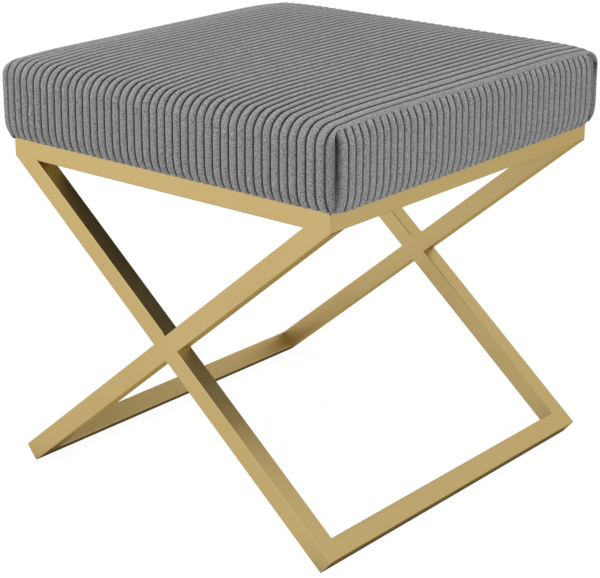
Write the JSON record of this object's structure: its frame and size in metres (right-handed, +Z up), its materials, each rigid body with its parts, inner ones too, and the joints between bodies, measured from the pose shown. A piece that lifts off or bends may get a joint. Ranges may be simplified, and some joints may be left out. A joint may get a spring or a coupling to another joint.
{
  "type": "upholstered stool",
  "caption": "Upholstered stool with a ribbed corduroy seat cushion on a gold square-tube steel frame whose slanted leg frames cross under the apron.",
  "frame": {"origin": "on the floor under the middle of the seat", "axes": "+Z up, +X across the stool in the plane of the crossed legs, +Y from the front to the rear"},
  "size_m": [0.43, 0.447, 0.436],
  "materials": {
    "gold_coat": "satin",
    "corduroy": "matte",
    "foam": "matte",
    "wadding": "matte",
    "plywood": "matte",
    "dust_cloth": "matte",
    "zinc": "satin"
  },
  "bodies": {
    "root": {"front_rail": "gold_coat", "rear_rail": "gold_coat", "left_rail": "gold_coat", "right_rail": "gold_coat", "front_through_leg": "gold_coat", "rear_through_leg": "gold_coat", "front_upper_leg": "gold_coat", "front_lower_leg": "gold_coat", "rear_upper_leg": "gold_coat", "rear_lower_leg": "gold_coat", "left_floor_rail": "gold_coat", "right_floor_rail": "gold_coat", "front_left_plate": "gold_coat", "front_right_plate": "gold_coat", "rear_left_plate": "gold_coat", "rear_right_plate": "gold_coat", "seat_board": "plywood", "t_nuts": "zinc", "seat_bolts": "zinc", "bolt_washers": "zinc", "foam_pad": "foam", "wadding_wrap": "wadding", "left_wadding": "wadding", "right_wadding": "wadding", "cover_main": "corduroy", "cover_left_panel": "corduroy", "cover_right_panel": "corduroy", "dust_cover": "dust_cloth"}
  },
  "joints": []
}
